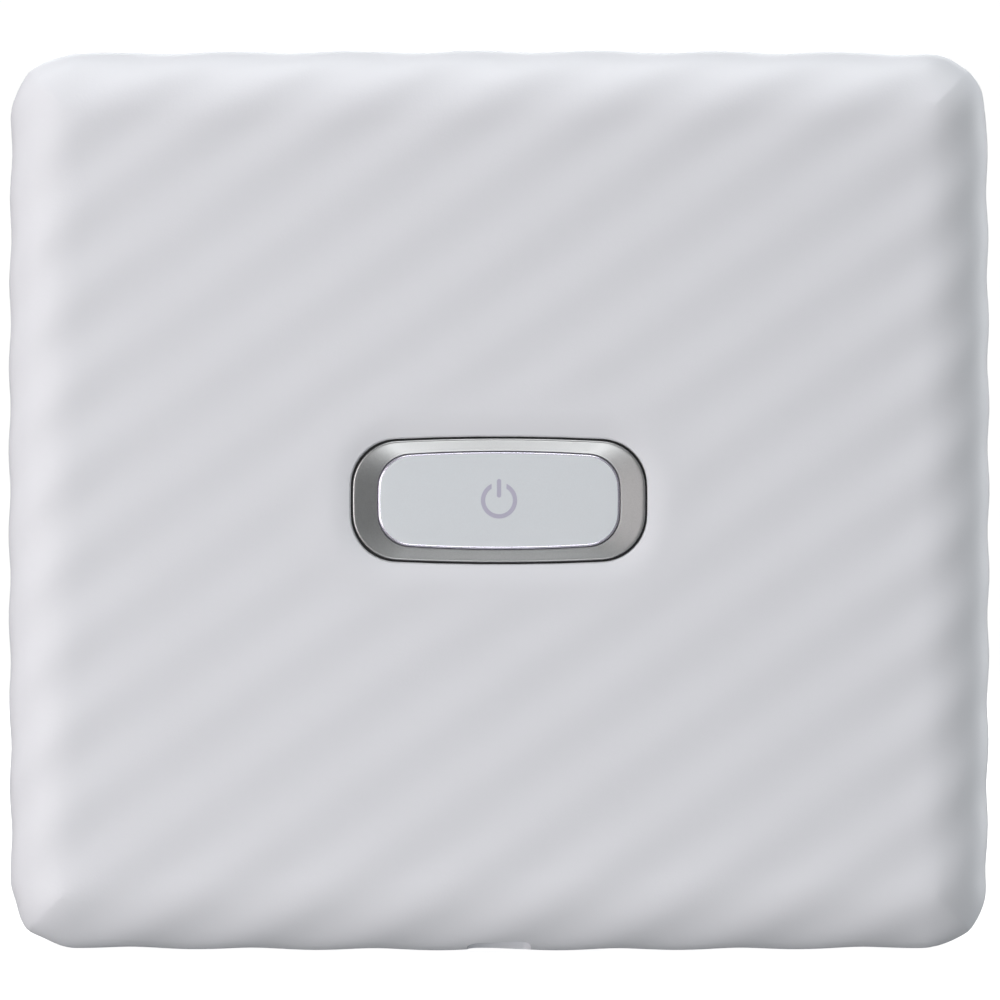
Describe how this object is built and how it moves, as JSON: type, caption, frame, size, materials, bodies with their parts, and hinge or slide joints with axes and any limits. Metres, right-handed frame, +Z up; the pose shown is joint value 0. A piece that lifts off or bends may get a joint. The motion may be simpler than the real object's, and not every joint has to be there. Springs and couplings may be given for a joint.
{
  "type": "instant film printer",
  "caption": "Flat, soft-edged instant film printer with a central power button in a metal ring, a film slot in its top and a hinged film door in its back.",
  "frame": {"origin": "centre of the footprint, on the surface that the printer stands on", "axes": "+X to the right as seen from the front, +Y from the front to the back, +Z up towards the film slot"},
  "size_m": [0.139, 0.0338, 0.1275],
  "materials": {
    "shell_white": "fine matte",
    "trim_grey": "satin",
    "bezel_metal": "satin",
    "pad_pearl": "pearl satin",
    "mark_silver": "satin",
    "black_plastic": "matte",
    "switch_black": "satin",
    "connector_cream": "satin",
    "felt_black": "matte",
    "steel": "brushed",
    "screw_steel": "satin",
    "motor_steel": "satin",
    "roller_rubber": "matte",
    "roller_metal": "satin",
    "gear_cream": "satin",
    "pinion_brass": "satin",
    "bearing_plastic": "satin",
    "disc_black": "satin",
    "board_green": "satin",
    "battery_wrap": "satin",
    "lead_red": "satin",
    "ribbon_tan": "satin",
    "clear_plastic": "frosted",
    "lens_glass": "polished",
    "led_body": "gloss"
  },
  "bodies": {
    "case": {"front_cover": "shell_white", "rear_cover": "shell_white", "door_seal": "felt_black", "button_bezel": "bezel_metal", "light_guide": "clear_plastic", "status_leds": "led_body", "power_switch": "switch_black", "function_switch": "switch_black", "side_board": "board_green", "reset_switch": "switch_black", "usb_socket": "steel", "main_board": "board_green", "board_chips": "switch_black", "board_connectors": "connector_cream", "shield_can": "steel", "battery": "battery_wrap", "battery_leads": "lead_red", "chassis": "black_plastic", "exit_guide": "black_plastic", "slot_seals": "felt_black", "left_roller_bracket": "steel", "right_roller_bracket": "steel", "roller_bushes": "bearing_plastic", "pinch_bearings": "bearing_plastic", "pinch_springs": "steel", "encoder_sensor": "black_plastic", "print_head": "black_plastic", "lens_array": "lens_glass", "head_board": "board_green", "ribbon_cable": "ribbon_tan", "drive_motor": "motor_steel", "gear_posts": "steel", "gear_plate": "steel", "claw_spring": "steel", "front_screws": "screw_steel", "rear_screws": "screw_steel", "board_screws": "screw_steel", "bracket_screws": "screw_steel"},
    "door": {"film_door": "shell_white", "door_hinge_pins": "steel", "pack_springs": "steel", "latch_spring": "steel"},
    "latch": {"door_latch": "trim_grey"},
    "power_key": {"power_button": "pad_pearl", "power_mark": "mark_silver"},
    "function_key": {"function_button": "trim_grey"},
    "reset_key": {"reset_button": "trim_grey"},
    "claw": {"film_claw": "black_plastic"},
    "drive": {"drive_shaft": "steel", "drive_roller": "roller_rubber", "roller_gear": "gear_cream", "encoder_disc": "disc_black"},
    "pinch": {"pinch_roller": "roller_metal", "pinch_gear": "gear_cream"},
    "motor_rotor": {"motor_pinion": "pinion_brass"},
    "reduction_1": {"first_gear": "gear_cream"},
    "reduction_2": {"second_gear": "gear_cream"},
    "idler": {"idler_gear": "gear_cream"},
    "feed_drive": {"feed_gear": "gear_cream"},
    "cam": {"cam_gear": "gear_cream"}
  },
  "joints": [
    {"name": "film_door_hinge", "type": "hinge", "parent": "case", "child": "door", "pos_m": [-0.06055, 0.01555, 0.06375], "axis": [0, 0, 1], "range_deg": [0, 95]},
    {"name": "door_latch_slide", "type": "slide", "parent": "door", "child": "latch", "axis": [-1, 0, 0], "range_m": [0, 0.0025], "stiffness_N_per_m": 120, "springref_m": -0.004, "deforming": ["latch_spring"]},
    {"name": "power_button_press", "type": "slide", "parent": "case", "child": "power_key", "axis": [0, 1, 0], "range_m": [0, 0.0004], "stiffness_N_per_m": 1500, "springref_m": -0.0002},
    {"name": "function_button_press", "type": "slide", "parent": "case", "child": "function_key", "axis": [1, 0, 0], "range_m": [0, 0.0004], "stiffness_N_per_m": 1200, "springref_m": -0.0002},
    {"name": "reset_button_press", "type": "slide", "parent": "case", "child": "reset_key", "axis": [0, 0, 1], "range_m": [0, 0.0004], "stiffness_N_per_m": 1000, "springref_m": -0.0002},
    {"name": "film_claw_slide", "type": "slide", "parent": "case", "child": "claw", "axis": [0, 0, 1], "range_m": [0, 0.0032], "deforming": ["claw_spring"]},
    {"name": "drive_roller_spin", "type": "hinge", "parent": "case", "child": "drive", "pos_m": [0.0645, -0.00275, 0.114], "axis": [1, 0, 0], "continuous": true},
    {"name": "pinch_roller_spin", "type": "hinge", "parent": "case", "child": "pinch", "pos_m": [0.0645, 0.00475, 0.114], "axis": [1, 0, 0], "continuous": true},
    {"name": "motor_spin", "type": "hinge", "parent": "case", "child": "motor_rotor", "pos_m": [0.0645, -0.0084, 0.075], "axis": [1, 0, 0], "continuous": true},
    {"name": "first_gear_spin", "type": "hinge", "parent": "case", "child": "reduction_1", "pos_m": [0.0645, -0.0029, 0.0851], "axis": [1, 0, 0], "continuous": true},
    {"name": "second_gear_spin", "type": "hinge", "parent": "case", "child": "reduction_2", "pos_m": [0.0645, 0.0015, 0.09626], "axis": [1, 0, 0], "continuous": true},
    {"name": "idler_gear_spin", "type": "hinge", "parent": "case", "child": "idler", "pos_m": [0.0645, -0.00265, 0.10425], "axis": [1, 0, 0], "continuous": true},
    {"name": "feed_gear_spin", "type": "hinge", "parent": "case", "child": "feed_drive", "pos_m": [0.0645, 0, 0.07346], "axis": [1, 0, 0], "continuous": true},
    {"name": "cam_gear_spin", "type": "hinge", "parent": "case", "child": "cam", "pos_m": [0.0645, 0, 0.05846], "axis": [1, 0, 0], "continuous": true}
  ],
  "couplings": [
    {"joint": "pinch_roller_spin", "follows": "drive_roller_spin", "ratio": -1},
    {"joint": "motor_spin", "follows": "drive_roller_spin", "ratio": 13.5},
    {"joint": "first_gear_spin", "follows": "drive_roller_spin", "ratio": -3.75},
    {"joint": "second_gear_spin", "follows": "drive_roller_spin", "ratio": 1.25},
    {"joint": "idler_gear_spin", "follows": "drive_roller_spin", "ratio": -0.625},
    {"joint": "feed_gear_spin", "follows": "drive_roller_spin", "ratio": 1.25},
    {"joint": "cam_gear_spin", "follows": "drive_roller_spin", "ratio": -0.3125}
  ]
}
